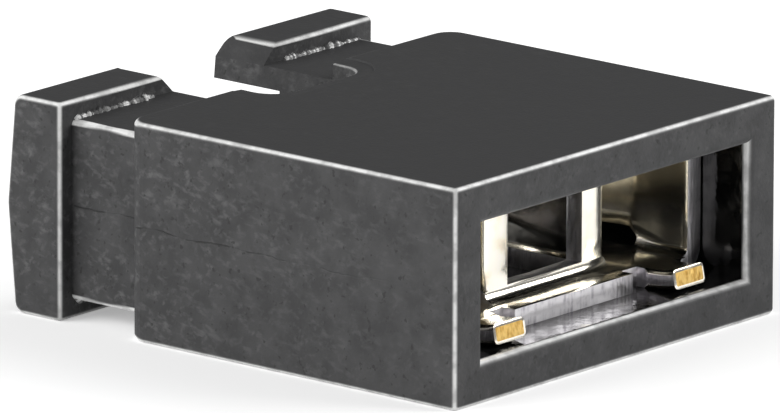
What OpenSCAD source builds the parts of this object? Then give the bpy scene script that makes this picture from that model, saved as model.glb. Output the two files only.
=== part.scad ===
// Two-position jumper shunt: a moulded sleeve with two grip ears holding one folded spring contact.
// The shunt lies on a broad side: X runs along the pin row, Y is the way it is pushed on
// (the mating mouth faces -Y, the grip ears point +Y), and Z is up through its thickness.
// The origin is at the middle of the footprint, on the underside.

/* [Housing] */
// Width of the housing along the pin row
body_w = 5.0; // [4.6:0.05:6]
// Thickness of the housing
body_h = 2.25; // [2.1:0.05:2.8]
// Length of the housing's main block, mouth to shoulder
body_l = 4.27; // [4.2:0.01:6]
// Wall at the two narrow sides
side_wall = 0.44; // [0.3:0.01:0.55]
// Wall at the two broad sides
broad_wall = 0.43; // [0.3:0.01:0.5]
// Radius on the housing's long edges
edge_r = 0.06; // [0.02:0.01:0.12]
// Radius on the block's two upright corners beside the necks
shoulder_r = 0.3; // [0.1:0.05:0.4]
// Lead-in chamfer around the mouth
mouth_chamfer = 0.09; // [0.03:0.01:0.15]

/* [Grip ears] */
// Clear gap between the two necks and between the two ears
gap = 1.4; // [1.3:0.05:1.6]
// Chamfer on the inner edges of each ear's two broad sides
ear_chamfer = 0.2; // [0.1:0.01:0.3]
// Length of each ear along the pull direction
ear_l = 0.62; // [0.4:0.02:1]
// Radius on the ears' end edges at their broad sides
ear_end_r = 0.12; // [0.06:0.01:0.2]
// Step from the block's narrow side in to the ear's
ear_inset = 0.08; // [0.02:0.01:0.15]
// How far the ears' end faces swell out to the parting line at mid thickness
ear_draft = 0.1; // [0.02:0.01:0.15]
// Length of the necks between the block and the ears
neck_l = 0.91; // [0.6:0.01:1.4]
// Step from the block's narrow side in to the neck's
neck_side_inset = 0.26; // [0.15:0.01:0.3]
// Step from the block's broad side in to the neck's
neck_broad_inset = 0.2; // [0.1:0.01:0.25]
// Step where the passage narrows on its way through the necks
throat_step = 0.12; // [0.05:0.01:0.15]
// How far in front of the ears the passage is wide again
ear_passage_l = 0.21; // [0.1:0.01:0.3]

/* [Rear notch] */
// Depth of the notch into the block between the necks
notch_depth = 0.45; // [0.35:0.01:0.5]
// Radius of the notch's inner corners
notch_corner_r = 0.28; // [0.15:0.01:0.3]
// Width of the dished rim around the notch
dish_w = 0.2; // [0.1:0.01:0.25]
// Depth of the dished rim
dish_depth = 0.03; // [0.02:0.01:0.1]

/* [Contact] */
// Distance between the two pins
pitch = 2.54; // [2.1:0.01:2.6]
// Side of the square pins that the contact takes
pin_side = 0.64; // [0.5:0.02:0.66]
// Free gap between the two springs that grip a pin
grip_gap = 0.54; // [0.4:0.01:0.6]
// Thickness of the contact's sheet metal
sheet_t = 0.2; // [0.14:0.01:0.24]
// Running clearance between the contact and the cavity's sides
contact_fit = 0.02; // [0.01:0.005:0.04]
// Distance from the mouth to the contact's front edge
contact_setback = 0.55; // [0.4:0.05:0.7]
// Length of the contact's base from its front edge
contact_l = 3.1; // [2.8:0.05:3.4]
// Inside radius of the folds
fold_r = 0.08; // [0.05:0.01:0.12]

/* [Contact front] */
// Width of the front edge between the two relief notches
front_edge_w = 1.84; // [1.4:0.02:2]
// Width of the stubs left where the contact was cut from its carrier strip
stub_w = 0.48; // [0.3:0.02:0.56]
// How far the stubs stand out from the front edge
stub_l = 0.31; // [0.1:0.01:0.36]
// Width of the notch between the front edge and each stub
relief_w = 0.24; // [0.1:0.02:0.3]
// Depth of the notch behind the front edge
relief_l = 0.15; // [0.05:0.01:0.2]

/* [Inner springs] */
// Clearance between the inner springs' straight part and the pins
spring_clearance = 0.02; // [0.01:0.01:0.1]
// Width of the posts that carry the inner springs
post_w = 0.35; // [0.26:0.01:0.4]
// Radius on the outer front corner of each post
post_corner_r = 0.06; // [0.03:0.01:0.1]
// Distance from the front edge back to the posts' front faces
post_setback = 0.38; // [0.34:0.01:0.5]
// Inside radius of the fold that turns the posts up from the base
post_fold_r = 0.12; // [0.08:0.01:0.14]
// Length of the inner springs behind the posts' front faces
inner_spring_l = 2.05; // [1.8:0.05:2.3]
// Clearance between the springs' top edges and the cavity's roof
roof_clearance = 0.06; // [0.03:0.01:0.12]

/* [Outer springs] */
// Distance from the front edge back to the side walls' front edges
wall_setback = 0.05; // [0:0.01:0.1]
// Length of the folded root that joins each side wall to the base
root_l = 0.65; // [0.5:0.05:0.8]
// Length of the side walls
outer_spring_l = 2.6; // [2.2:0.05:2.8]

/* [Hidden] */
$fn = 64;

total_l = body_l + neck_l + ear_l + ear_draft;
mouth_y = -total_l / 2;
cut = 1;

cavity_w = body_w - 2 * side_wall;
cavity_h = body_h - 2 * broad_wall;

ear_outer_x = body_w / 2 - ear_inset;
neck_outer_x = body_w / 2 - neck_side_inset;
gap_x = gap / 2;
ear_y = body_l + neck_l;
neck_root = 0.4;
throat_y = body_l - throat_step;
ear_passage_y = ear_y - ear_passage_l;
notch_y = body_l - notch_depth;

base_z = broad_wall;
base_top = base_z + sheet_t;
roof_z = body_h - broad_wall - roof_clearance;
front_y = contact_setback;
wall_x = cavity_w / 2 - contact_fit;
fold_outer_r = fold_r + sheet_t;

pin_x = pitch / 2;
leaf_x = pin_x - pin_side / 2 - spring_clearance;
leaf_grip_x = pin_x - grip_gap / 2;
wall_grip_x = pin_x + grip_gap / 2;
post_y = front_y + post_setback;
spring_end_y = post_y + inner_spring_l;
wall_y = front_y + wall_setback;
root_end_y = wall_y + root_l;
wall_end_y = wall_y + outer_spring_l;
grip_y = post_y + 0.65 * inner_spring_l;
window_end_y = spring_end_y + 0.1;

// Convex outline, with its points counter-clockwise, and every corner rounded to r
module rounded_outline(points, r) {
    n = len(points);
    out = [for (i = [0:n - 1]) let(d = points[(i + 1) % n] - points[i]) [d.y, -d.x] / norm(d)];
    before = [for (i = [0:n - 1]) out[(i + n - 1) % n]];
    centre = [for (i = [0:n - 1]) points[i] - r * (before[i] + out[i]) / (1 + before[i] * out[i])];
    polygon([for (i = [0:n - 1]) each [centre[i] + r * before[i], centre[i] + r * out[i]]]);
    for (c = centre) translate(c) circle(r);
}

// Rectangle from (x0, y0) to (x1, y1) with its four corners rounded to r
module rounded_rect(x0, y0, x1, y1, r) {
    rounded_outline([[x0, y0], [x1, y0], [x1, y1], [x0, y1]], r);
}

// Block between the corners a and b with all twelve edges rounded to r
module rounded_block(a, b, r) {
    intersection() {
        translate([0, 0, a.z]) linear_extrude(b.z - a.z) rounded_rect(a.x, a.y, b.x, b.y, r);
        translate([0, b.y, 0]) rotate([90, 0, 0])
            linear_extrude(b.y - a.y) rounded_rect(a.x, a.z, b.x, b.z, r);
        translate([a.x, 0, 0]) rotate([90, 0, 90])
            linear_extrude(b.x - a.x) rounded_rect(a.y, a.z, b.y, b.z, r);
    }
}

// Extrusion along Y, from y0 to y1, of a section drawn as (x, z)
module along_y(y0, y1) {
    translate([0, y1, 0]) rotate([90, 0, 0]) linear_extrude(y1 - y0) children();
}

// Extrusion along X, from x0 to x1, of a section drawn as (y, z)
module along_x(x0, x1) {
    translate([x0, 0, 0]) rotate([90, 0, 90]) linear_extrude(x1 - x0) children();
}

// Both sides of a piece that is the same left and right
module both_sides() {
    children();
    mirror([1, 0, 0]) children();
}

// Main block, whose two upright corners beside the necks have the larger radius
module block() {
    difference() {
        rounded_block([-body_w / 2, 0, 0], [body_w / 2, body_l, body_h], edge_r);
        both_sides() translate([body_w / 2 - shoulder_r, body_l - shoulder_r, -cut])
            linear_extrude(body_h + 2 * cut) difference() {
                square(shoulder_r + cut);
                circle(shoulder_r);
            }
    }
}

// Slimmer stem that carries one ear; it runs into the block and into the ear
module neck() {
    rounded_block(
        [gap_x, body_l - neck_root, neck_broad_inset],
        [neck_outer_x, ear_y + ear_l / 2, body_h - neck_broad_inset],
        edge_r);
}

// Grip ear at the end of one neck, with its inner edges chamfered and an end face that is
// drafted both ways from the parting line
module ear() {
    end_y = ear_y + ear_l;
    c = ear_chamfer;
    intersection() {
        rounded_block([gap_x, ear_y, 0], [ear_outer_x, end_y + ear_draft, body_h], edge_r);
        along_x(gap_x - cut, ear_outer_x + cut) rounded_outline([
            [ear_y - cut, 0], [end_y, 0], [end_y + ear_draft, body_h / 2],
            [end_y, body_h], [ear_y - cut, body_h]],
            ear_end_r);
        along_y(ear_y - cut, end_y + cut) rounded_outline([
            [gap_x + c, 0], [ear_outer_x + cut, 0], [ear_outer_x + cut, body_h],
            [gap_x + c, body_h], [gap_x, body_h - c], [gap_x, c]],
            edge_r);
    }
}

// Box between y0 and y1 that stops short of the cavity's section by step on every side
module passage(y0, y1, step) {
    translate([step - cavity_w / 2, y0, broad_wall + step])
        cube([cavity_w - 2 * step, y1 - y0, cavity_h - 2 * step]);
}

// Open passage for the contact and the pins, from the mouth out through the ears;
// it narrows in the necks, and the shoulder there stops the contact
module cavity() {
    passage(-cut, throat_y, 0);
    passage(throat_y - cut, ear_y + cut, throat_step);
    passage(ear_passage_y, total_l + cut, 0);
}

// Chamfered lead-in around the mouth, with mitred corners
module mouth_lead_in() {
    c = mouth_chamfer;
    w = cavity_w / 2;
    z0 = broad_wall;
    z1 = body_h - broad_wall;
    intersection() {
        translate([0, 0, -cut]) linear_extrude(body_h + 2 * cut)
            polygon([[-w - 2 * c, -c], [w + 2 * c, -c], [w, c], [-w, c]]);
        along_x(-body_w, body_w)
            polygon([[-c, z0 - 2 * c], [c, z0], [c, z1], [-c, z1 + 2 * c]]);
    }
}

// Dished rim of the notch, sunk into the broad side at z = 0; it runs out over the necks,
// which lie lower, and ends before the ears
module notch_dish() {
    x = gap_x - notch_corner_r;
    y0 = notch_y + notch_corner_r;
    intersection() {
        hull() for (corner = [[-x, y0], [x, y0], [-x, y0 + cut], [x, y0 + cut]])
            translate(corner) translate([0, 0, -dish_depth])
                cylinder(h = 2 * dish_depth, r1 = notch_corner_r + 2 * dish_w, r2 = notch_corner_r, $fn = 32);
        translate([-body_w / 2, 0, -cut]) cube([body_w, body_l + neck_l / 2, 2 * cut]);
    }
}

// Notch through both broad walls at the block's rear edge, as wide as the gap between the necks
module rear_notch() {
    translate([0, 0, -cut]) linear_extrude(body_h + 2 * cut)
        rounded_rect(-gap_x, notch_y, gap_x, body_l + cut, notch_corner_r);
    notch_dish();
    translate([0, 0, body_h]) mirror([0, 0, 1]) notch_dish();
}

module housing() {
    color([0.2, 0.2, 0.2]) translate([0, mouth_y, 0]) difference() {
        union() {
            block();
            both_sides() neck();
            both_sides() ear();
        }
        cavity();
        mouth_lead_in();
        rear_notch();
    }
}

// Quarter of a sheet fold around the origin, in the quadrant of +x and -y
module fold_section(r) {
    intersection() {
        difference() {
            circle(r + sheet_t);
            circle(r);
        }
        translate([0, -r - sheet_t]) square(r + sheet_t);
    }
}

// Base plate on the cavity's floor, with the two stubs, their notches and the window
module base_plate() {
    side_x = wall_x - fold_outer_r;
    stub_x = front_edge_w / 2 + relief_w;
    translate([0, 0, base_z]) linear_extrude(sheet_t) difference() {
        union() {
            translate([-side_x, front_y]) square([2 * side_x, contact_l]);
            both_sides() translate([stub_x, front_y - stub_l]) square([stub_w, stub_l + relief_l]);
        }
        both_sides() translate([front_edge_w / 2, front_y - cut]) square([relief_w, cut + relief_l]);
        translate([-leaf_x, post_y - post_fold_r]) square([2 * leaf_x, window_end_y - post_y + post_fold_r]);
    }
}

// Root of one outer spring: the fold from the base plate up into the side wall
module wall_root() {
    fold_x = wall_x - fold_outer_r;
    along_y(wall_y, root_end_y) {
        translate([fold_x, base_top + fold_r]) fold_section(fold_r);
        translate([fold_x - sheet_t, base_z]) square([sheet_t, sheet_t]);
        translate([wall_x - sheet_t, base_top + fold_r]) square([sheet_t, sheet_t]);
    }
}

// Outer spring: a side wall that bows in to the pin and opens again behind it
module outer_spring() {
    inner_x = wall_x - sheet_t;
    open_x = (inner_x + wall_grip_x) / 2;
    path = [[inner_x, wall_y], [inner_x, root_end_y], [wall_grip_x, grip_y], [open_x, wall_end_y]];
    back = [for (i = [3:-1:0]) path[i] + [sheet_t, 0]];
    low_z = base_top + fold_r;
    taper = 0.25;
    intersection() {
        linear_extrude(body_h) polygon(concat(path, back));
        along_x(0, body_w) polygon([
            [wall_y, low_z], [wall_y, roof_z], [wall_end_y, roof_z - taper],
            [wall_end_y, low_z + taper], [root_end_y, low_z + sheet_t / 2], [root_end_y, low_z]]);
    }
}

// Fold and sill that turn the middle of the base plate up in front of the window
module sill() {
    along_x(-leaf_x, leaf_x) {
        translate([post_y - post_fold_r, base_top + post_fold_r]) fold_section(post_fold_r);
        translate([post_y - post_fold_r - sheet_t, base_z]) square(sheet_t);
    }
}

// Post at one end of the sill, with its outer front corner rounded
module post() {
    r = post_corner_r;
    translate([leaf_x, post_y, base_top + post_fold_r]) linear_extrude(roof_z - base_top - post_fold_r) {
        translate([-post_w, 0]) square([post_w - r, sheet_t]);
        translate([-r, r]) square([r, sheet_t - r]);
        translate([-r, r]) circle(r);
    }
}

// Inner spring: it runs back from its post's outer end, bows out to the pin and tapers to its end
module inner_spring() {
    face_x = leaf_x - sheet_t;
    grip_x = leaf_grip_x - sheet_t;
    start_y = post_y + sheet_t;
    path = [[face_x, start_y], [face_x, start_y + sheet_t], [grip_x, grip_y], [face_x, spring_end_y]];
    back = [for (i = [3:-1:0]) path[i] + [sheet_t, 0]];
    low_z = base_top + post_fold_r;
    taper = 0.4;
    intersection() {
        linear_extrude(body_h) polygon(concat(path, back));
        along_x(0, body_w) polygon([
            [start_y, low_z], [start_y, roof_z],
            [spring_end_y, roof_z - taper], [spring_end_y, low_z + taper]]);
    }
}

module contact() {
    color([0.72, 0.64, 0.5]) translate([0, mouth_y, 0]) {
        base_plate();
        sill();
        both_sides() {
            wall_root();
            outer_spring();
            post();
            inner_spring();
        }
    }
}

housing();
contact();
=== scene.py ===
"""A two-position jumper shunt: a moulded sleeve with two grip ears around one folded spring contact.

The shunt lies on a broad side. Its pieces are modelled in millimetres from the mouth, with X along the
pin row, Y from the mouth back to the ears and Z up, and are then put into the frame's metres.
"""

from __future__ import annotations

import logging
import math
import random
from dataclasses import dataclass, field
from enum import Enum
from typing import Callable, Iterable, Sequence

import bmesh
import bpy
from mathutils import Matrix, Vector

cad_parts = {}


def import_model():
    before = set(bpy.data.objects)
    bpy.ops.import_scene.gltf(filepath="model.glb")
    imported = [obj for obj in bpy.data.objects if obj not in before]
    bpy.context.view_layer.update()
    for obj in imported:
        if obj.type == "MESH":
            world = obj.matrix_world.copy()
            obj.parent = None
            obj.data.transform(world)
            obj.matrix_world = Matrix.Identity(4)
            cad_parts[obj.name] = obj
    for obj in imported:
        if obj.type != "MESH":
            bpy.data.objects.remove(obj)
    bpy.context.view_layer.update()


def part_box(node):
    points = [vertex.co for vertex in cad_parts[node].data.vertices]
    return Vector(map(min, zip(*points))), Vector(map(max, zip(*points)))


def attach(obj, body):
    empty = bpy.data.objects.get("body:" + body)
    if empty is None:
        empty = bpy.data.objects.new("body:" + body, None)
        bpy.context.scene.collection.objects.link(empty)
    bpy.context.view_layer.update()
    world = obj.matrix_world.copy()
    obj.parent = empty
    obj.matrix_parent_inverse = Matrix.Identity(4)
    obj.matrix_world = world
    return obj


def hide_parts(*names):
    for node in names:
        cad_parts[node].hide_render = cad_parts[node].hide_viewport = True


LOG = logging.getLogger("jumper_shunt")
MM = 0.001
SMALL = 1e-4

Point = tuple[float, float]
Socket = bpy.types.NodeSocket


class Axis(Enum):
    """The axis along which an outline is extruded, and the two axes that the outline is drawn on."""

    X = (1, 2, 0)
    Y = (0, 2, 1)
    Z = (0, 1, 2)


class Join(Enum):
    """What one solid does to another."""

    ADD = "UNION"
    CUT = "DIFFERENCE"


class Surface(Enum):
    """The material places of the housing, in the order of its material slots."""

    SKIN = 0
    CORE = 1


class Metal(Enum):
    """The material places of the contact, in the order of its material slots."""

    FACE = 0
    SHEARED = 1
    BARE = 2


# ---------------------------------------------------------------------------------------------------
# Outlines and solids
# ---------------------------------------------------------------------------------------------------


def arc(centre: Point, radius: float, start: float, end: float, steps: int) -> list[Point]:
    """Points along an arc.

    Args:
        centre: The arc's centre.
        radius: Its radius.
        start: The first point's angle, in degrees.
        end: The last point's angle, in degrees.
        steps: How many straight stretches the arc is made of.

    Returns:
        steps + 1 points.
    """
    angles = [math.radians(start + (end - start) * i / steps) for i in range(steps + 1)]
    return [(centre[0] + radius * math.cos(a), centre[1] + radius * math.sin(a)) for a in angles]


def fillet(before: Point, corner: Point, after: Point, radius: float, steps: int) -> list[Point]:
    """Points that round one corner of an outline.

    Args:
        before: The outline's point before the corner.
        corner: The corner.
        after: The outline's point after it.
        radius: The rounding's radius.
        steps: How many straight stretches the rounding is made of.

    Returns:
        steps + 1 points, from one side of the corner to the other.
    """
    at = Vector(corner)
    back = (Vector(before) - at).normalized()
    ahead = (Vector(after) - at).normalized()
    half = back.angle(ahead) / 2
    centre = at + (back + ahead).normalized() * radius / math.sin(half)
    start = at + back * radius / math.tan(half) - centre
    sweep = start.angle_signed(at + ahead * radius / math.tan(half) - centre)
    turns = [Matrix.Rotation(-sweep * i / steps, 2) for i in range(steps + 1)]
    return [tuple(centre + turn @ start) for turn in turns]


def smooth_line(knots: Sequence[Point], count: int) -> list[Point]:
    """A smooth curve y(x) through knots that turns back only at them.

    Args:
        knots: Points in rising order of x.
        count: How many points to put along the whole curve.

    Returns:
        count + 1 points at even steps of x.
    """
    slopes = [(b[1] - a[1]) / (b[0] - a[0]) for a, b in zip(knots, knots[1:])]
    inner = [0.0 if a * b <= 0 else 2 * a * b / (a + b) for a, b in zip(slopes, slopes[1:])]
    tangents = [slopes[0], *inner, slopes[-1]]
    points = []
    for i in range(count + 1):
        x = knots[0][0] + (knots[-1][0] - knots[0][0]) * i / count
        k = max(j for j in range(len(knots) - 1) if knots[j][0] <= x + SMALL)
        (x0, y0), (x1, y1) = knots[k], knots[k + 1]
        t = (x - x0) / (x1 - x0)
        span = x1 - x0
        y = y0 * (1 + 2 * t) * (1 - t) ** 2 + y1 * t * t * (3 - 2 * t)
        y += span * (tangents[k] * t * (1 - t) ** 2 + tangents[k + 1] * t * t * (t - 1))
        points.append((x, y))
    return points


def new_piece(name: str, mesh: bpy.types.Mesh,
              materials: Iterable[bpy.types.Material] = ()) -> bpy.types.Object:
    """Puts a mesh into the scene as an object.

    Args:
        name: The object's name.
        mesh: Its mesh.
        materials: Its materials, in the order of its slots.

    Returns:
        The object.
    """
    piece = bpy.data.objects.new(name, mesh)
    for material in materials:
        mesh.materials.append(material)
    bpy.context.scene.collection.objects.link(piece)
    return piece


def from_bmesh(name: str, shape: bmesh.types.BMesh) -> bpy.types.Object:
    """Turns a bmesh into an object with its faces turned outwards, and frees the bmesh."""
    bmesh.ops.recalc_face_normals(shape, faces=shape.faces)
    mesh = bpy.data.meshes.new(name)
    shape.to_mesh(mesh)
    shape.free()
    return new_piece(name, mesh)


def loft(rings: Sequence[Sequence[Point]], heights: Sequence[float], axis: Axis,
         place: int = 0) -> bpy.types.Object:
    """A closed solid through outlines that all have the same number of points.

    Args:
        rings: The outlines, in order.
        heights: Where each outline lies along the axis.
        axis: The axis that the outlines are stacked along.
        place: The material place of its faces.

    Returns:
        A new object.
    """
    first, second, third = axis.value
    shape = bmesh.new()
    layers = []
    for ring, height in zip(rings, heights):
        layer = []
        for a, b in ring:
            corner = [0.0, 0.0, 0.0]
            corner[first], corner[second], corner[third] = a, b, height
            layer.append(shape.verts.new(corner))
        layers.append(layer)
    for low, high in zip(layers, layers[1:]):
        for i in range(len(low)):
            j = (i + 1) % len(low)
            shape.faces.new((low[i], low[j], high[j], high[i]))
    shape.faces.new(list(reversed(layers[0])))
    shape.faces.new(layers[-1])
    for face in shape.faces:
        face.material_index = place
    return from_bmesh("solid", shape)


def prism(outline: Sequence[Point], low: float, high: float, axis: Axis, place: int = 0) -> bpy.types.Object:
    """A straight extrusion of one outline from low to high along an axis."""
    return loft([outline, outline], [low, high], axis, place)


def box(low: Sequence[float], high: Sequence[float], place: int = 0) -> bpy.types.Object:
    """A box between two opposite corners."""
    outline = [(low[0], low[1]), (high[0], low[1]), (high[0], high[1]), (low[0], high[1])]
    return prism(outline, low[2], high[2], Axis.Z, place)


def settle(piece: bpy.types.Object) -> None:
    """Applies every modifier on a piece."""
    graph = bpy.context.evaluated_depsgraph_get()
    changed = piece.evaluated_get(graph)
    mesh = bpy.data.meshes.new_from_object(changed, preserve_all_data_layers=True, depsgraph=graph)
    piece.modifiers.clear()
    piece.data = mesh


def combine(base: bpy.types.Object, other: bpy.types.Object, join: Join) -> None:
    """Adds a solid to another, or cuts it away, and discards it. Its faces keep their material places.

    Args:
        base: The solid that stays.
        other: The solid that is used up.
        join: Whether it is added or cut away.
    """
    for material in base.data.materials:
        other.data.materials.append(material)
    modifier = base.modifiers.new("combine", "BOOLEAN")
    modifier.operation = join.value
    modifier.solver = "EXACT"
    modifier.object = other
    settle(base)
    bpy.data.objects.remove(other)


def mirrored(build: Callable[[float], bpy.types.Object]) -> list[bpy.types.Object]:
    """A piece built on the left and on the right, from a function of the side's sign."""
    return [build(-1.0), build(1.0)]


def in_frame(piece: bpy.types.Object, mouth: float) -> None:
    """Moves a piece from millimetres behind the mouth into the frame.

    Args:
        piece: The piece, modelled in millimetres.
        mouth: The mouth's Y in the frame, in metres.
    """
    piece.data.transform(Matrix.Translation((0, mouth, 0)) @ Matrix.Scale(MM, 4))
    piece.data.update()


# ---------------------------------------------------------------------------------------------------
# Finishes
# ---------------------------------------------------------------------------------------------------


class Sheet:
    """The node sheet of one material, with short calls for the nodes that the finishes share."""

    def __init__(self, name: str) -> None:
        """Starts a material with one Principled shader."""
        self.material = bpy.data.materials.new(name)
        self.material.use_nodes = True
        tree = self.material.node_tree
        tree.nodes.clear()
        self.nodes = tree.nodes
        self.links = tree.links
        self.shader = self.nodes.new("ShaderNodeBsdfPrincipled")
        output = self.nodes.new("ShaderNodeOutputMaterial")
        self.links.new(self.shader.outputs["BSDF"], output.inputs["Surface"])
        self.place = self.nodes.new("ShaderNodeTexCoord").outputs["Object"]

    def feed(self, socket: Socket, value: Socket | float | Sequence[float]) -> None:
        """Links a socket to another socket, or sets its value."""
        if isinstance(value, bpy.types.NodeSocket):
            self.links.new(value, socket)
        else:
            socket.default_value = value

    def set(self, name: str, value: Socket | float | Sequence[float]) -> None:
        """Sets or links one input of the shader."""
        self.feed(self.shader.inputs[name], value)

    def math(self, operation: str, a: Socket | float, b: Socket | float = 0.0) -> Socket:
        """One step of arithmetic on two values."""
        node = self.nodes.new("ShaderNodeMath")
        node.operation = operation
        self.feed(node.inputs[0], a)
        self.feed(node.inputs[1], b)
        return node.outputs[0]

    def ease(self, value: Socket, low: float, high: float, start: float = 0.0, end: float = 1.0) -> Socket:
        """Eases from start to end as a value goes from low to high."""
        node = self.nodes.new("ShaderNodeMapRange")
        node.interpolation_type = "SMOOTHSTEP"
        self.feed(node.inputs["Value"], value)
        for name, number in (("From Min", low), ("From Max", high), ("To Min", start), ("To Max", end)):
            node.inputs[name].default_value = number
        return node.outputs["Result"]

    def blend(self, share: Socket, a: Socket | Sequence[float], b: Socket | Sequence[float]) -> Socket:
        """A colour between two colours."""
        node = self.nodes.new("ShaderNodeMix")
        node.data_type = "RGBA"
        self.feed(node.inputs["Factor"], share)
        for socket, colour in ((node.inputs[6], a), (node.inputs[7], b)):
            self.feed(socket, colour if isinstance(colour, bpy.types.NodeSocket) else (*colour, 1.0))
        return node.outputs[2]

    def grain(self, size: float, stretch: Sequence[float] = (1, 1, 1), turn: Sequence[float] = (0, 0, 0),
              detail: float = 3.0, shift: float = 0.0) -> Socket:
        """Cloudy noise.

        Args:
            size: How far apart its lumps are, in millimetres.
            stretch: How many times longer the lumps are along each axis.
            turn: The turn of those axes, in degrees.
            detail: How many finer layers are added.
            shift: A move through the noise, so that two grains differ.

        Returns:
            Its value, about 0.2 to 0.8.
        """
        mapping = self.nodes.new("ShaderNodeMapping")
        mapping.vector_type = "TEXTURE"
        mapping.inputs["Location"].default_value = (shift * MM,) * 3
        mapping.inputs["Rotation"].default_value = [math.radians(a) for a in turn]
        mapping.inputs["Scale"].default_value = [size * MM * s for s in stretch]
        self.links.new(self.place, mapping.inputs["Vector"])
        noise = self.nodes.new("ShaderNodeTexNoise")
        noise.inputs["Scale"].default_value = 1.0
        noise.inputs["Detail"].default_value = detail
        self.links.new(mapping.outputs["Vector"], noise.inputs["Vector"])
        return noise.outputs["Fac"]

    def part(self, vector: Socket, axis: str) -> Socket:
        """One coordinate of a vector."""
        node = self.nodes.new("ShaderNodeSeparateXYZ")
        self.links.new(vector, node.inputs[0])
        return node.outputs[axis]

    def facing(self, axis: str) -> Socket:
        """How squarely the surface faces along an axis, from 0 to 1, whichever way."""
        normal = self.nodes.new("ShaderNodeNewGeometry").outputs["Normal"]
        return self.math("ABSOLUTE", self.part(normal, axis))

    def turning(self) -> Socket:
        """How far the surface turns away from all three axes: 0 on flats, 1 in the middle of a rounding."""
        level = self.math("MAXIMUM", self.facing("X"), self.facing("Y"))
        squarest = self.math("MAXIMUM", level, self.facing("Z"))
        return self.ease(squarest, 0.78, 1.0, 1.0, 0.0)

    def mark(self, name: str) -> Socket:
        """A value stored on the mesh."""
        node = self.nodes.new("ShaderNodeAttribute")
        node.attribute_name = name
        return node.outputs["Fac"]

    def relief(self, height: Socket, depth: float, under: Socket | None = None) -> Socket:
        """Bump from a height.

        Args:
            height: The height, from 0 to 1.
            depth: What a height of 1 stands for, in millimetres.
            under: The bump that this one is added to.

        Returns:
            The bumped normal.
        """
        node = self.nodes.new("ShaderNodeBump")
        node.inputs["Strength"].default_value = 1.0
        node.inputs["Distance"].default_value = depth * MM
        self.links.new(height, node.inputs["Height"])
        if under is not None:
            self.links.new(under, node.inputs["Normal"])
        return node.outputs["Normal"]


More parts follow.
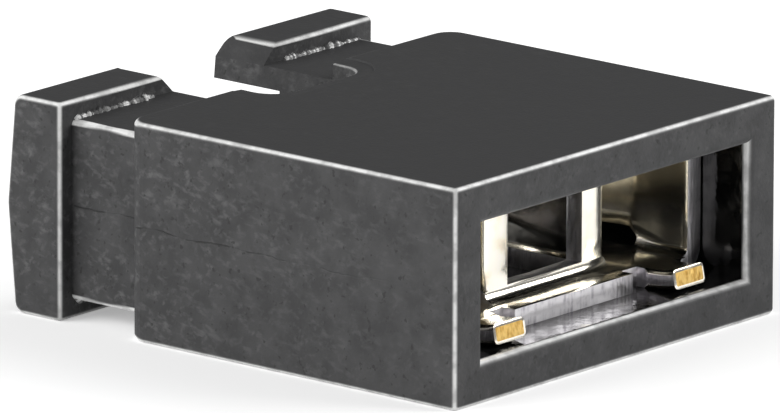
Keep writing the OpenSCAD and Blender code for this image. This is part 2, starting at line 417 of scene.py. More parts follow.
@dataclass(frozen=True)
class MouldedPlastic:
    """Black fibre-filled plastic off a spark-eroded mould; its edges are glossier and carry a painted
    highlight in pale colour.
    """

    dark: tuple[float, float, float] = (0.038, 0.038, 0.039)
    light: tuple[float, float, float] = (0.056, 0.056, 0.057)
    fibre: tuple[float, float, float] = (0.110, 0.110, 0.111)
    pit: tuple[float, float, float] = (0.022, 0.022, 0.022)
    # painted shade: the darker colour of faces that look up or down, against the lit sides
    smooth: tuple[float, float, float] = (0.034, 0.034, 0.035)
    # painted highlight: the pale colour that the edge roundings are painted
    painted_highlight: tuple[float, float, float] = (0.90, 0.90, 0.89)
    parting_height: float = 1.17
    parting_width: float = 0.012
    parting_wander: float = 0.16
    side_plane: float = 2.1
    parting_start: float = -2.6
    parting_end: float = 2.2

    def fibres(self, sheet: Sheet) -> Socket:
        """Short pale fibres that lie in the skin, most of them along the flow."""
        along = sheet.ease(sheet.grain(0.075, (1, 2.0, 1), (12, 0, 0), 3.0), 0.50, 0.78)
        across = sheet.ease(sheet.grain(0.080, (1, 1.5, 1), (-38, 0, 25), 3.0, 3.0), 0.52, 0.80)
        crowd = sheet.ease(sheet.grain(0.55, detail=2.0, shift=7.0), 0.35, 0.62, 0.45, 1.0)
        rearwards = sheet.ease(sheet.part(sheet.place, "Y"), -2.8 * MM, 1.5 * MM, 0.35, 1.0)
        fibres = sheet.math("MAXIMUM", along, across)
        return sheet.math("MULTIPLY", fibres, sheet.math("MULTIPLY", crowd, rearwards))

    def parting_line(self, sheet: Sheet) -> Socket:
        """The wandering hairline on the narrow sides where the mould's halves met."""
        drift = sheet.math("SUBTRACT", sheet.grain(0.6, (1, 1, 50), detail=4.0), 0.5)
        wander = sheet.math("MULTIPLY", drift, self.parting_wander * MM)
        height = sheet.math("SUBTRACT", sheet.part(sheet.place, "Z"), self.parting_height * MM)
        distance = sheet.math("ABSOLUTE", sheet.math("ADD", height, wander))
        line = sheet.ease(distance, 0.3 * self.parting_width * MM, self.parting_width * MM, 1.0, 0.0)
        broken = sheet.ease(sheet.grain(0.22, detail=2.0, shift=11.0), 0.38, 0.55, 0.15, 1.0)
        outside = sheet.math("ABSOLUTE", sheet.part(sheet.place, "X"))
        side = sheet.math("GREATER_THAN", outside, self.side_plane * MM)
        upright = sheet.math("GREATER_THAN", sheet.facing("X"), 0.8)
        along = sheet.part(sheet.place, "Y")
        faded = sheet.ease(along, self.parting_start * MM, 0.0, 0.0, 0.8)
        stopped = sheet.math("LESS_THAN", along, self.parting_end * MM)
        line = sheet.math("MULTIPLY", line, broken)
        line = sheet.math("MULTIPLY", line, sheet.math("MULTIPLY", side, upright))
        return sheet.math("MULTIPLY", line, sheet.math("MULTIPLY", faded, stopped))

    def material(self) -> bpy.types.Material:
        """Builds the material."""
        sheet = Sheet("moulded_plastic")
        side = sheet.ease(sheet.facing("Z"), 0.3, 0.8, 1.0, 0.12)
        clouds = sheet.ease(sheet.grain(0.30, detail=5.0), 0.35, 0.68)
        fibres = sheet.math("MULTIPLY", self.fibres(sheet), side)
        pits = sheet.ease(sheet.grain(0.065, detail=2.0, shift=5.0), 0.26, 0.38, 0.8, 0.0)
        pits = sheet.math("MULTIPLY", pits, side)
        line = self.parting_line(sheet)
        # painted highlight: pale colour on the roundings, as strong as the mesh's mark and broken up by
        # noise
        patchy = sheet.ease(sheet.grain(0.16, detail=4.0, shift=2.0), 0.32, 0.60, 0.65, 1.0)
        painted_highlight = sheet.math("MULTIPLY", sheet.mark("edge_highlight"), sheet.math("MULTIPLY", patchy, sheet.turning()))
        colour = sheet.blend(clouds, self.dark, self.light)
        # painted shade: faces that look up or down are painted darker
        colour = sheet.blend(sheet.ease(sheet.facing("Z"), 0.8, 1.0), colour, self.smooth)
        colour = sheet.blend(fibres, colour, self.fibre)
        colour = sheet.blend(sheet.math("MAXIMUM", pits, line), colour, self.pit)
        sheet.set("Base Color", sheet.blend(painted_highlight, colour, self.painted_highlight))
        sheet.set("Roughness", sheet.ease(painted_highlight, 0.0, 1.0, 0.62, 0.30))
        sheet.set("Specular IOR Level", 0.35)
        fine = sheet.relief(sheet.grain(0.035, detail=3.0, shift=9.0), 0.0035)
        uneven = sheet.relief(sheet.grain(0.40, detail=2.0, shift=4.0), 0.006, fine)
        sunk = sheet.relief(sheet.math("SUBTRACT", 1.0, line), 0.010, uneven)
        sheet.set("Normal", sheet.relief(fibres, 0.002, sunk))
        return sheet.material


@dataclass(frozen=True)
class ShadedPolishedCore:
    """The same plastic where it shrank on to a polished core: shiny, and painted near-black as painted shade
    inside the passage.
    """

    # painted shade: near-black colours for the walls inside the passage
    colour: tuple[float, float, float] = (0.004, 0.004, 0.004)
    haze: tuple[float, float, float] = (0.008, 0.008, 0.008)

    def material(self) -> bpy.types.Material:
        """Builds the material."""
        sheet = Sheet("shaded_polished_core")
        clouds = sheet.ease(sheet.grain(0.25, detail=4.0), 0.4, 0.7)
        sheet.set("Base Color", sheet.blend(clouds, self.colour, self.haze))
        sheet.set("Roughness", sheet.ease(clouds, 0.0, 1.0, 0.08, 0.20))
        sheet.set("Specular IOR Level", 0.5)
        sheet.set("Normal", sheet.relief(sheet.grain(0.12, detail=3.0), 0.004))
        return sheet.material


@dataclass(frozen=True)
class PlatedFace:
    """Bright warm plating on the rolled faces of the contact's sheet."""

    bright: tuple[float, float, float] = (0.98, 0.94, 0.84)
    tarnished: tuple[float, float, float] = (0.84, 0.74, 0.56)

    def material(self) -> bpy.types.Material:
        """Builds the material."""
        sheet = Sheet("plated_face")
        clouds = sheet.ease(sheet.grain(0.35, detail=4.0), 0.50, 0.80)
        rolled = sheet.grain(0.02, (1, 9, 9), detail=2.0)
        sheet.set("Base Color", sheet.blend(clouds, self.bright, self.tarnished))
        sheet.set("Metallic", 1.0)
        sheet.set("Roughness", sheet.ease(clouds, 0.0, 1.0, 0.14, 0.26))
        highlight_or_roll_bump = sheet.relief(rolled, 0.0004)
        sheet.set("Normal", sheet.relief(sheet.grain(0.20, detail=2.0, shift=3.0), 0.0018, highlight_or_roll_bump))
        return sheet.material


@dataclass(frozen=True)
class ShearedEdge:
    """The sheet's cut edges: grey, and scored across by the punch."""

    pale: tuple[float, float, float] = (0.80, 0.78, 0.80)
    dull: tuple[float, float, float] = (0.42, 0.40, 0.44)

    def material(self) -> bpy.types.Material:
        """Builds the material."""
        sheet = Sheet("sheared_edge")
        scores = sheet.grain(0.035, (1, 1, 7), detail=3.0)
        patches = sheet.ease(sheet.grain(0.12, detail=3.0, shift=6.0), 0.35, 0.70)
        mixed = sheet.math("MULTIPLY", sheet.ease(scores, 0.40, 0.70), patches)
        sheet.set("Base Color", sheet.blend(mixed, self.pale, self.dull))
        sheet.set("Metallic", 1.0)
        sheet.set("Roughness", sheet.ease(patches, 0.0, 1.0, 0.30, 0.48))
        sheet.set("Normal", sheet.relief(scores, 0.006))
        return sheet.material


@dataclass(frozen=True)
class BareAlloy:
    """Unplated copper alloy where the contact was cut from its carrier strip."""

    bright: tuple[float, float, float] = (0.88, 0.60, 0.20)
    deep: tuple[float, float, float] = (0.52, 0.30, 0.07)

    def material(self) -> bpy.types.Material:
        """Builds the material."""
        sheet = Sheet("bare_alloy")
        torn = sheet.grain(0.05, (1, 1, 2), detail=4.0)
        sheet.set("Base Color", sheet.blend(sheet.ease(torn, 0.38, 0.66), self.bright, self.deep))
        sheet.set("Metallic", 1.0)
        sheet.set("Roughness", sheet.ease(torn, 0.3, 0.7, 0.32, 0.5))
        sheet.set("Normal", sheet.relief(torn, 0.012))
        return sheet.material


@dataclass(frozen=True)
class PaleFloor:
    """A plain matt white floor, which looks a little whiter than it lights what stands on it."""

    colour: tuple[float, float, float] = (0.90, 0.90, 0.90)
    lift: float = 0.36

    def material(self) -> bpy.types.Material:
        """Builds the material."""
        sheet = Sheet("pale_floor")
        sheet.set("Base Color", (*self.colour, 1.0))
        sheet.set("Roughness", 0.9)
        sheet.set("Specular IOR Level", 0.0)
        rays = sheet.nodes.new("ShaderNodeLightPath").outputs
        seen = sheet.math("MAXIMUM", rays["Is Camera Ray"], rays["Is Glossy Ray"])
        seen = sheet.math("MAXIMUM", seen, rays["Is Transmission Ray"])
        sheet.set("Emission Color", (1.0, 1.0, 1.0, 1.0))
        sheet.set("Emission Strength", sheet.math("MULTIPLY", seen, self.lift))
        return sheet.material


# ---------------------------------------------------------------------------------------------------
# Housing
# ---------------------------------------------------------------------------------------------------


@dataclass
class Housing:
    """The moulded sleeve: a block with a passage through it, two necks and two grip ears."""

    width: float
    height: float
    length: float = 4.27
    side_wall: float = 0.44
    broad_wall: float = 0.43
    edge_radius: float = 0.06
    shoulder_radius: float = 0.25
    mouth_lead_in: float = 0.09
    gap: float = 1.4
    ear_length: float = 0.62
    ear_chamfer: float = 0.2
    ear_end_radius: float = 0.12
    ear_swell_radius: float = 0.5
    ear_passage_length: float = 0.21
    ear_inset: float = 0.08
    ear_draft: float = 0.1
    neck_length: float = 0.91
    neck_side_inset: float = 0.26
    neck_broad_inset: float = 0.2
    throat_step: float = 0.12
    notch_depth: float = 0.45
    notch_corner_radius: float = 0.28
    dish_width: float = 0.2
    dish_depth: float = 0.03
    notch_edge_radius: float = 0.03
    # painted highlight strengths: weaker between the stems and on the block's rear top edge
    sheltered_highlight: float = 0.12
    rear_highlight: float = 0.4
    flash_radius: float = 0.032
    flash_seed: int = 7
    plastic: MouldedPlastic = field(default_factory=MouldedPlastic)
    core: ShadedPolishedCore = field(default_factory=ShadedPolishedCore)

    @property
    def ear_start(self) -> float:
        """Where the ears begin, behind the mouth."""
        return self.length + self.neck_length

    @property
    def ear_end(self) -> float:
        """Where the ears end at their top and bottom edges."""
        return self.ear_start + self.ear_length

    @property
    def passage_half_width(self) -> float:
        """Half the width of the passage."""
        return self.width / 2 - self.side_wall

    def block(self) -> bpy.types.Object:
        """The main block, with its two shoulders rounded."""
        half = self.width / 2
        r = self.shoulder_radius
        right = arc((half - r, self.length - r), r, 0, 90, 8)
        left = arc((r - half, self.length - r), r, 90, 180, 8)
        return prism([(-half, 0), (half, 0), *right, *left], 0, self.height, Axis.Z)

    def neck(self, side: float) -> bpy.types.Object:
        """The stem of one ear, run a little into the block and ending at the ear."""
        root = self.length - 0.3
        inner = self.gap / 2
        outer = self.width / 2 - self.neck_side_inset
        low = (min(side * inner, side * outer), root, self.neck_broad_inset)
        high = (max(side * inner, side * outer), self.ear_start, self.height - self.neck_broad_inset)
        return box(low, high)

    def ear(self, side: float) -> bpy.types.Object:
        """One grip ear: its end face swells to the parting line, and its inner edges are chamfered."""
        inner = side * self.gap / 2
        outer = side * (self.width / 2 - self.ear_inset)
        bottom, top = (self.ear_end, 0), (self.ear_end, self.height)
        swell = (self.ear_end + self.ear_draft, self.height / 2)
        profile = [
            (self.ear_start, 0),
            *fillet((self.ear_start, 0), bottom, swell, self.ear_end_radius, 6),
            *fillet(bottom, swell, top, self.ear_swell_radius, 6),
            *fillet(swell, top, (self.ear_start, self.height), self.ear_end_radius, 6),
            (self.ear_start, self.height),
        ]
        ear = prism(profile, min(inner, outer), max(inner, outer), Axis.X)
        for edge, inwards in ((0, 1), (self.height, -1)):
            reach = 2 * self.ear_chamfer
            corner = (inner - side * reach, edge - inwards * reach)
            wedge = [corner, (corner[0] + side * 5 * self.ear_chamfer, corner[1]),
                     (corner[0], corner[1] + inwards * 5 * self.ear_chamfer)]
            combine(ear, prism(wedge, self.ear_start - 1, self.ear_end + 1, Axis.Y), Join.CUT)
        return ear

    def passage(self, start: float, end: float, step: float) -> bpy.types.Object:
        """A stretch of the passage, smaller than its full section by step on every side."""
        half = self.passage_half_width - step
        low = (-half, start, self.broad_wall + step)
        high = (half, end, self.height - self.broad_wall - step)
        return box(low, high, Surface.CORE.value)

    def notch_outline(self, grown: float) -> list[Point]:
        """The rear notch's outline, grown outwards; it is as wide as the gap between the necks."""
        half = self.gap / 2 + grown
        r = self.notch_corner_radius + grown
        front = self.length - self.notch_depth - grown
        back = self.length + self.neck_length / 2
        left = arc((r - half, front + r), r, 180, 270, 8)
        right = arc((half - r, front + r), r, 270, 360, 8)
        return [(-half, back), *left, *right, (half, back)]

    def dish(self, surface: float, inwards: float) -> bpy.types.Object:
        """The dished rim of the notch on one broad side.

        Args:
            surface: The height of that side.
            inwards: The direction into the plastic, 1 or -1.

        Returns:
            The solid to cut away.
        """
        step = self.dish_depth / 2
        grown = [self.dish_width + step, self.dish_width - step, 0.0]
        heights = [surface + inwards * depth for depth in (-step, step, self.dish_depth)]
        return loft([self.notch_outline(g) for g in grown], heights, Axis.Z)

    def flash(self, side: float, surface: float) -> bpy.types.Object:
        """The ragged bead of flash where a neck's broad side runs into its ear.

        Args:
            side: -1 for the left neck, 1 for the right.
            surface: The height of the neck's broad side.

        Returns:
            The bead, as a solid to add.
        """
        chance = random.Random(self.flash_seed + int(10 * surface) + int(3 * side))
        sides = 7
        inner = side * (self.gap / 2 + 0.3)
        outer = side * (self.width / 2 - self.neck_side_inset - 0.03)
        rings, places = [], []
        steps = 56
        lump = 0.0
        for i in range(steps + 1):
            lump = 0.45 * lump + 0.55 * chance.uniform(-1, 1)
            swell = 1.0 + 0.9 * lump + (0.7 if chance.random() < 0.1 else 0.0)
            ends = min(1.0, 0.3 + 0.35 * min(i, steps - i))
            r = self.flash_radius * max(0.35, swell) * ends
            lift = 0.010 * chance.uniform(-1, 1)
            rings.append(arc((self.ear_start - 0.004, surface + lift), r, 0, 360 - 360 / sides, sides - 1))
            places.append(inner + (outer - inner) * i / steps)
        bead = loft(rings, places, Axis.X)
        painted_highlight = bead.data.attributes.new("rounded", "FLOAT", "FACE")
        # painted highlight: each lump of the bead is painted pale in one of three strengths
        lumps = [chance.choice((0.1, 0.3, 1.0)) for _ in range(steps + 1)]
        for i, value in enumerate(painted_highlight.data):
            value.value = lumps[i // sides]
        return bead

    def round_edges(self, piece: bpy.types.Object, radius: float, segments: int,
                    chosen: Callable[[bmesh.types.BMEdge], bool], highlight_or_roll_bump: Callable[[Vector], float]) -> None:
        """Rounds the outward edges that are chosen, and marks how strongly the rounds carry the painted
        highlight.

        Args:
            piece: The solid.
            radius: The rounding's size.
            segments: How many strips each rounding has.
            chosen: Says whether an edge is rounded.
            highlight_or_roll_bump: How strongly a rounding carries the painted highlight at a place, from 0
                to 1.
        """
        shape = bmesh.new()
        shape.from_mesh(piece.data)
        bmesh.ops.remove_doubles(shape, verts=shape.verts, dist=SMALL)
        bmesh.ops.dissolve_limit(shape, angle_limit=math.radians(0.5), verts=shape.verts, edges=shape.edges)
        rounds = shape.faces.layers.float.get("rounded") or shape.faces.layers.float.new("rounded")
        sharp = math.radians(40)
        outward = [e for e in shape.edges if e.is_manifold and e.calc_face_angle_signed(0) > sharp]
        edges = [e for e in outward if chosen(e)]
        made = bmesh.ops.bevel(shape, geom=edges, offset=radius, offset_type="OFFSET", segments=segments,
                               profile=0.5, affect="EDGES", clamp_overlap=False)
        for face in made["faces"]:
            face[rounds] = max(SMALL, highlight_or_roll_bump(face.calc_center_median()))
            face.material_index = Surface.SKIN.value
        shape.to_mesh(piece.data)
        shape.free()

    def is_outside(self, edge: bmesh.types.BMEdge) -> bool:
        """Whether an edge lies away from the stems' facing sides and from the ends of the ears' chamfers."""
        faces_gap = all(abs(abs(v.co.x) - self.gap / 2) < SMALL for v in edge.verts)
        normals = [face.normal for face in edge.link_faces]
        chamfered = any(abs(abs(n.x) - abs(n.z)) < 0.01 and abs(n.x) > 0.5 for n in normals)
        level = any(abs(n.z) > 0.99 for n in normals)
        return not faces_gap and (level or not chamfered)

    def at_mouth(self, edge: bmesh.types.BMEdge) -> bool:
        """Whether an edge runs round the passage's mouth."""
        inside = self.passage_half_width + SMALL
        return all(abs(v.co.y) < SMALL and abs(v.co.x) < inside for v in edge.verts)

    def at_notch(self, edge: bmesh.types.BMEdge) -> bool:
        """Whether an edge runs round the notch at the bottom of its dish."""
        levels = (self.dish_depth, self.height - self.dish_depth)
        ring = any(all(abs(v.co.z - level) < SMALL for v in edge.verts) for level in levels)
        inside = all(abs(v.co.x) < self.gap / 2 + SMALL and v.co.y < self.length - SMALL for v in edge.verts)
        return ring and inside

    def outside_edge_highlight(self, place: Vector) -> float:
        """How strongly the outer edges carry the painted highlight: less at the block's rear, and least
        between the stems.
        """
        if abs(place.x) < self.gap / 2 + self.edge_radius and place.y > self.length:
            return self.sheltered_highlight
        if abs(place.y - self.length) < self.edge_radius and place.z > self.height - self.edge_radius:
            return self.rear_highlight
        return 1.0

    def mouth_edge_highlight(self, place: Vector) -> float:
        """How strongly the mouth's lead-in carries the painted highlight: most at the bottom and on the
        right.
        """
        painted_highlight = place.z < self.broad_wall + SMALL or place.x > self.passage_half_width - SMALL
        return 1.0 if painted_highlight else self.sheltered_highlight

    def mark_edge_highlight(self, piece: bpy.types.Object) -> None:
        """Stores on each face's corners how strongly they carry the painted highlight: 0 on flats and where
        a rounding ends.
        """
        shape = bmesh.new()
        shape.from_mesh(piece.data)
        rounds = shape.faces.layers.float["rounded"]
        edge_highlight = shape.loops.layers.float.new("edge_highlight")
        runs_out = math.radians(20)
        for face in shape.faces:
            face.smooth = face[rounds] > 0
            if not face.smooth:
                continue
            for corner in face.loops:
                tangent = any(
                    len(edge.link_faces) == 2
                    and min(side[rounds] for side in edge.link_faces) == 0
                    and max(side[rounds] for side in edge.link_faces) > 0
                    and edge.calc_face_angle(0) < runs_out
                    for edge in corner.vert.link_edges
                )
                corner[edge_highlight] = 0.0 if tangent else face[rounds]
        shape.to_mesh(piece.data)
        shape.free()

    def build(self) -> bpy.types.Object:
        """Builds the whole housing.

        Returns:
            The housing, in the frame.
        """
        piece = self.block()
        piece.data.materials.append(self.plastic.material())
        piece.data.materials.append(self.core.material())
        for part in mirrored(self.neck) + mirrored(self.ear):
            combine(piece, part, Join.ADD)
        self.round_edges(piece, self.edge_radius, 6, self.is_outside, self.outside_edge_highlight)
        overlap = 0.5
        throat = self.length - self.throat_step
        wide_again = self.ear_start - self.ear_passage_length
        combine(piece, self.passage(-1, throat, 0), Join.CUT)
        combine(piece, self.passage(throat - overlap, wide_again + overlap, self.throat_step), Join.CUT)
        combine(piece, self.passage(wide_again, self.ear_end + 1, 0), Join.CUT)
        combine(piece, prism(self.notch_outline(0), -1, self.height + 1, Axis.Z), Join.CUT)
        combine(piece, self.dish(self.height, -1), Join.CUT)
        combine(piece, self.dish(0, 1), Join.CUT)
        self.round_edges(piece, self.mouth_lead_in, 5, self.at_mouth, self.mouth_edge_highlight)
        self.round_edges(piece, self.notch_edge_radius, 3, self.at_notch, lambda place: self.rear_highlight)
        for surface in (self.neck_broad_inset, self.height - self.neck_broad_inset):
            for side in (-1.0, 1.0):
                combine(piece, self.flash(side, surface), Join.ADD)
        self.mark_edge_highlight(piece)
        piece.name = "moulded_sleeve"
        piece.data.name = piece.name
        return piece


# ---------------------------------------------------------------------------------------------------
# Contact
# ---------------------------------------------------------------------------------------------------


@dataclass
class Contact:
    """The spring contact: one plated sheet, cut out and folded. Its pin side is drawn and then thickened."""

    passage_half_width: float
    floor: float
    roof: float
    pitch: float = 2.54
    pin_side: float = 0.64
    grip_gap: float = 0.54
    sheet: float = 0.2
    fit: float = 0.02
    setback: float = 0.55
    length: float = 3.1
    fold_radius: float = 0.08
    front_edge_width: float = 1.84
    stub_width: float = 0.48
    stub_length: float = 0.31
    relief_width: float = 0.24
    relief_length: float = 0.15
    spring_clearance: float = 0.02
    post_width: float = 0.35
    post_corner_radius: float = 0.06
    post_setback: float = 0.38
    post_fold_radius: float = 0.12
    inner_spring_length: float = 2.05
    roof_clearance: float = 0.06
    wall_setback: float = 0.05
    root_length: float = 0.65
    outer_spring_length: float = 2.6
    window_margin: float = 0.1
    grip_share: float = 0.65
    inner_taper: float = 0.4
    outer_taper: float = 0.25
    edge_round: float = 0.012
    stub_lift: float = 0.035
    stub_round: float = 0.05
    stub_rim: float = 0.03
    face: PlatedFace = field(default_factory=PlatedFace)
    sheared: ShearedEdge = field(default_factory=ShearedEdge)
    bare: BareAlloy = field(default_factory=BareAlloy)

    def __post_init__(self) -> None:
        """Works out the places that several features share."""
        self.top = self.floor + self.sheet
        self.peak = self.roof - self.roof_clearance
        self.wall_inner = self.passage_half_width - self.fit - self.sheet
        self.base_half = self.wall_inner - self.fold_radius
        self.leaf = self.pitch / 2 - self.pin_side / 2 - self.spring_clearance
        self.leaf_grip = self.pitch / 2 - self.grip_gap / 2
        self.wall_grip = self.pitch / 2 + self.grip_gap / 2
        self.post_front = self.setback + self.post_setback
        self.spring_end = self.post_front + self.inner_spring_length
        self.window_end = self.spring_end + self.window_margin
        self.grip = self.post_front + self.grip_share * self.inner_spring_length
        self.wall_front = self.setback + self.wall_setback
        self.root_end = self.wall_front + self.root_length
        self.wall_end = self.wall_front + self.outer_spring_length

    def is_base(self, x: float, y: float) -> bool:
        """Whether the flat base covers a place."""
        x = abs(x)
        stub = self.front_edge_width / 2 + self.relief_width
        if y < self.setback:
            return stub < x < stub + self.stub_width
        if y < self.setback + self.relief_length and self.front_edge_width / 2 < x < stub:
            return False
        in_window = x < self.leaf and self.post_front - self.post_fold_radius < y < self.window_end
        return not in_window

    def strip(self, shape: bmesh.types.BMesh, rows: Sequence[Sequence[Vector]]) -> None:
        """Skins a grid of points, given row by row."""
        grid = [[shape.verts.new(p) for p in row] for row in rows]
        for low, high in zip(grid, grid[1:]):
            for i in range(len(low) - 1):
                shape.faces.new((low[i], low[i + 1], high[i + 1], high[i]))

    def base_height(self, y: float) -> float:
        """The base's upper face: flat, but for the stubs, which were bent up a little as they were cut."""
        beyond = max(0.0, self.setback - y) / self.stub_length
        return self.top + self.stub_lift * beyond * beyond

    def base(self, shape: bmesh.types.BMesh) -> None:
        """The base plate's upper face, cell by cell."""
        stub = self.front_edge_width / 2 + self.relief_width
        post_inner = self.leaf - self.post_width
        front_edge = self.front_edge_width / 2
        marks = (0.0, post_inner, self.leaf, front_edge, stub, stub + self.stub_width, self.base_half)
        across = sorted({round(s * m, 5) for m in marks for s in (-1, 1)})
        along = sorted({
            round(v, 5)
            for v in (
                *(self.setback - self.stub_length * share / 4 for share in range(5)),
                self.wall_front, self.setback + self.relief_length,
                self.post_front - self.post_fold_radius, self.root_end, self.window_end,
                self.setback + self.length,
            )
        })
        for x0, x1 in zip(across, across[1:]):
            for y0, y1 in zip(along, along[1:]):
                if self.is_base((x0 + x1) / 2, (y0 + y1) / 2):
                    rows = [[Vector((x, y, self.base_height(y))) for x in (x0, x1)] for y in (y0, y1)]
                    self.strip(shape, rows)

    def root_stations(self) -> list[float]:
        """Where the base's grid meets the fold of a side wall."""
        relief_end = self.setback + self.relief_length
        return [self.wall_front, relief_end, self.post_front - self.post_fold_radius, self.root_end]

    def outer_spring(self, shape: bmesh.types.BMesh, side: float) -> None:
        """A side wall with its fold; it bows in to the pin and opens again behind it."""
        roots = self.root_stations()
        turn = arc((self.base_half, self.top + self.fold_radius), self.fold_radius, -90, 0, 6)
        self.strip(shape, [[Vector((side * x, y, z)) for y in roots] for x, z in turn])
        opened = (self.wall_inner + self.wall_grip) / 2
        knots = [(self.root_end, self.wall_inner), (self.grip, self.wall_grip), (self.wall_end, opened)]
        bow = smooth_line(knots, 24)
        low = self.top + self.fold_radius
        places = [(y, self.wall_inner, low) for y in roots]
        for y, x in bow[1:]:
            share = (y - self.root_end) / (self.wall_end - self.root_end)
            lifted = low + self.sheet / 2 + (self.outer_taper - self.sheet / 2) * share
            places.append((y, x, lifted))
        columns = []
        for y, x, bottom in places:
            top = self.peak - self.outer_taper * (y - self.wall_front) / (self.wall_end - self.wall_front)
            columns.append([Vector((side * x, y, bottom + (top - bottom) * i / 6)) for i in range(7)])
        self.strip(shape, columns)

    def sill(self, shape: bmesh.types.BMesh) -> None:
        """The fold that turns the middle of the base up in front of the window."""
        marks = (0.0, self.leaf - self.post_width, self.leaf)
        across = sorted({round(s * m, 5) for m in marks for s in (-1, 1)})
        centre = (self.post_front - self.post_fold_radius, self.top + self.post_fold_radius)
        turn = arc(centre, self.post_fold_radius, -90, 0, 8)
        self.strip(shape, [[Vector((x, y, z)) for x in across] for y, z in turn])

    def inner_spring(self, shape: bmesh.types.BMesh, side: float) -> None:
        """A post on the sill, and the spring that folds back from it, bows out to the pin and tapers."""
        low = self.top + self.post_fold_radius
        start = self.post_front + self.sheet
        straight = start + self.sheet
        knots = [(straight, self.leaf), (self.grip, self.leaf_grip), (self.spring_end, self.leaf)]
        post = [(self.leaf - self.post_width, self.post_front), (self.leaf, self.post_front)]
        path = [*post, (self.leaf, start), *[(x, y) for y, x in smooth_line(knots, 20)]]
        columns = []
        for x, y in path:
            share = max(0.0, (y - start) / (self.spring_end - start))
            bottom = low + self.inner_taper * share
            top = self.peak - self.inner_taper * share
            columns.append([Vector((side * x, y, bottom + (top - bottom) * i / 6)) for i in range(7)])
        self.strip(shape, columns)

    def turn_to_pins(self, shape: bmesh.types.BMesh) -> None:
        """Makes all faces turn the same way, with the base's facing up."""
        bmesh.ops.recalc_face_normals(shape, faces=shape.faces)
        flat = max((f for f in shape.faces if abs(f.normal.z) > 0.99), key=lambda f: f.calc_area())
        if flat.normal.z < 0:
            bmesh.ops.reverse_faces(shape, faces=shape.faces)

    def skin(self) -> bpy.types.Object:
        """The sheet's pin side, before it has any thickness."""
        shape = bmesh.new()
        self.base(shape)
        self.sill(shape)
        for side in (-1.0, 1.0):
            self.outer_spring(shape, side)
            self.inner_spring(shape, side)
        bmesh.ops.remove_doubles(shape, verts=shape.verts, dist=10 * SMALL)
        self.turn_to_pins(shape)
        mesh = bpy.data.meshes.new("skin")
        shape.to_mesh(mesh)
        shape.free()
        return new_piece("skin", mesh, (self.face.material(), self.sheared.material(), self.bare.material()))

    def on_post_corner(self, edge: bmesh.types.BMEdge) -> bool:
        """Whether an edge is the outer front corner of a post."""
        return all(
            abs(abs(v.co.x) - self.leaf) < SMALL
            and abs(v.co.y - self.post_front) < SMALL
            and v.co.z > self.top
            for v in edge.verts
        )

    def on_stub_side(self, edge: bmesh.types.BMEdge) -> bool:
        """Whether an edge runs along a stub."""
        first, second = (v.co for v in edge.verts)
        straight = abs(first.x - second.x) < self.edge_round
        along = straight and abs(first.y - second.y) > abs(first.z - second.z)
        inner = self.front_edge_width / 2 + self.relief_width
        beside = any(abs(abs(first.x) - x) < self.edge_round for x in (inner, inner + self.stub_width))
        return along and beside and max(first.y, second.y) < self.setback + self.edge_round

    def soften(self, piece: bpy.types.Object) -> None:
        """Rounds the posts' outer corners and the stubs' long edges."""
        shape = bmesh.new()
        shape.from_mesh(piece.data)
        roundings = ((self.on_post_corner, self.post_corner_radius), (self.on_stub_side, self.stub_round))
        for chosen, radius in roundings:
            edges = [edge for edge in shape.edges if chosen(edge)]
            bmesh.ops.bevel(shape, geom=edges, offset=radius, offset_type="OFFSET", segments=4, profile=0.5,
                            affect="EDGES", clamp_overlap=False)
        shape.to_mesh(piece.data)
        shape.free()

    def bare_stub_ends(self, piece: bpy.types.Object) -> None:
        """Leaves each stub's end plated at its rim and bare inside."""
        shape = bmesh.new()
        shape.from_mesh(piece.data)
        behind = self.setback - self.stub_length / 2
        ends = [f for f in shape.faces if f.normal.y < -0.9 and f.calc_center_median().y < behind]
        for face in ends:
            if face.calc_area() < self.stub_width * self.sheet / 2:
                continue
            made = bmesh.ops.inset_individual(shape, faces=[face], thickness=self.stub_rim, depth=0.004)
            for ring in made["faces"]:
                ring.material_index = Metal.FACE.value
            face.material_index = Metal.BARE.value
        shape.to_mesh(piece.data)
        shape.free()

    def build(self) -> bpy.types.Object:
        """Builds the whole contact.

        Returns:
            The contact, in millimetres behind the mouth.
        """
        piece = self.skin()
        thick = piece.modifiers.new("thick", "SOLIDIFY")
        thick.thickness = self.sheet
        thick.offset = -1.0
        thick.use_even_offset = True
        thick.use_quality_normals = True
        thick.material_offset_rim = Metal.SHEARED.value
        settle(piece)
        self.soften(piece)
        broken = piece.modifiers.new("broken_edges", "BEVEL")
        broken.width = self.edge_round
        broken.segments = 2
        broken.limit_method = "ANGLE"
        broken.angle_limit = math.radians(50)
        settle(piece)
        self.bare_stub_ends(piece)
        piece.data.shade_smooth()
        piece.data.set_sharp_from_angle(angle=math.radians(35))
        piece.name = "spring_contact"
        piece.data.name = piece.name
        return piece


# ---------------------------------------------------------------------------------------------------
# Studio
# ---------------------------------------------------------------------------------------------------


@dataclass(frozen=True)
class Softbox:
    """A large plain lamp that faces the shunt."""

    name: str
    azimuth: float
    elevation: float
    radiance: float
    width: float = 0.14
    height: float = 0.10
    distance: float = 0.16

    def build(self, target: Vector) -> None:
        """Hangs the lamp, with its azimuth counted from +X towards +Y."""
        turn, rise = math.radians(self.azimuth), math.radians(self.elevation)
        away = Vector((math.cos(rise) * math.cos(turn), math.cos(rise) * math.sin(turn), math.sin(rise)))
        lamp = bpy.data.lights.new(self.name, "AREA")
        lamp.shape = "RECTANGLE"
        lamp.size = self.width
        lamp.size_y = self.height
        lamp.energy = self.radiance * math.pi * self.width * self.height
        holder = bpy.data.objects.new(self.name, lamp)
        holder.location = target + away * self.distance
        holder.rotation_euler = away.to_track_quat("Z", "Y").to_euler()
        bpy.context.scene.collection.objects.link(holder)


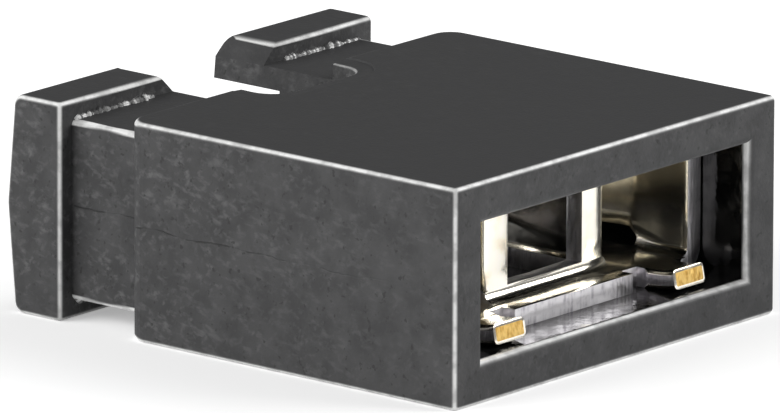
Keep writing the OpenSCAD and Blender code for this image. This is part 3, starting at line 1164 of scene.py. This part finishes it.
@dataclass
class Studio:
    """The floor, the lamps and the dim room around them."""

    floor_size: float = 2.0
    room_light: float = 0.22
    floor: PaleFloor = field(default_factory=PaleFloor)
    lamps: tuple[Softbox, ...] = (
        Softbox("left_softbox", azimuth=148, elevation=28, radiance=5.0),
        Softbox("right_softbox", azimuth=-42, elevation=34, radiance=5.0),
    )

    def build(self, target: Vector) -> None:
        """Builds the studio around a point.

        Args:
            target: The point that the lamps face.
        """
        half = self.floor_size / 2
        mesh = bpy.data.meshes.new("floor")
        corners = [(-half, -half, 0), (half, -half, 0), (half, half, 0), (-half, half, 0)]
        mesh.from_pydata(corners, [], [(0, 1, 2, 3)])
        new_piece("floor", mesh, (self.floor.material(),))
        world = bpy.data.worlds.new("room")
        world.use_nodes = True
        background = world.node_tree.nodes["Background"]
        background.inputs["Color"].default_value = (1.0, 1.0, 1.0, 1.0)
        background.inputs["Strength"].default_value = self.room_light
        bpy.context.scene.world = world
        for lamp in self.lamps:
            lamp.build(target)


@dataclass(frozen=True)
class Viewpoint:
    """A long lens that looks down a little at the mouth and the left side."""

    azimuth: float = -50.055
    elevation: float = 14.41
    roll: float = 0.175
    distance: float = 0.1641
    lens: float = 760.0
    sensor: float = 36.0
    aim: Point = (-0.0214, 0.004)

    def build(self, target: Vector) -> None:
        """Sets the camera.

        Args:
            target: The point near the picture's middle. The aim is the view's shift from it, right and up,
                in millimetres.
        """
        turn, rise, roll = (math.radians(a) for a in (self.azimuth, self.elevation, self.roll))
        back = Vector((math.sin(turn) * math.cos(rise), -math.cos(turn) * math.cos(rise), math.sin(rise)))
        level = Vector((math.cos(turn), math.sin(turn), 0))
        upright = back.cross(level)
        right = level * math.cos(roll) + upright * math.sin(roll)
        up = upright * math.cos(roll) - level * math.sin(roll)
        camera = bpy.data.cameras.new("camera")
        camera.lens = self.lens
        camera.sensor_width = self.sensor
        camera.clip_start = 0.01
        camera.clip_end = 10.0
        holder = bpy.data.objects.new("camera", camera)
        centre = target + (right * self.aim[0] + up * self.aim[1]) * MM
        matrix = Matrix((right, up, back)).transposed().to_4x4()
        matrix.translation = centre + back * self.distance
        holder.matrix_world = matrix
        bpy.context.scene.collection.objects.link(holder)
        bpy.context.scene.camera = holder


def main() -> None:
    """Builds the shunt around the frame and reports each piece."""
    logging.basicConfig(level=logging.INFO, format="%(message)s")
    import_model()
    bpy.context.scene.view_settings.view_transform = "Standard"
    low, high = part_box("housing")
    target = Vector((0, -0.05 * MM, 1.1 * MM))
    Viewpoint().build(target)
    Studio().build(target)

    housing = Housing(width=(high.x - low.x) / MM, height=(high.z - low.z) / MM)
    sleeve = housing.build()
    in_frame(sleeve, low.y)
    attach(sleeve, "root")
    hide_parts("housing")
    LOG.info("%s: %d faces", sleeve.name, len(sleeve.data.polygons))

    contact = Contact(housing.passage_half_width, housing.broad_wall, housing.height - housing.broad_wall)
    spring = contact.build()
    in_frame(spring, low.y)
    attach(spring, "root")
    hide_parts("contact")
    LOG.info("%s: %d faces", spring.name, len(spring.data.polygons))


if __name__ == "__main__":
    main()
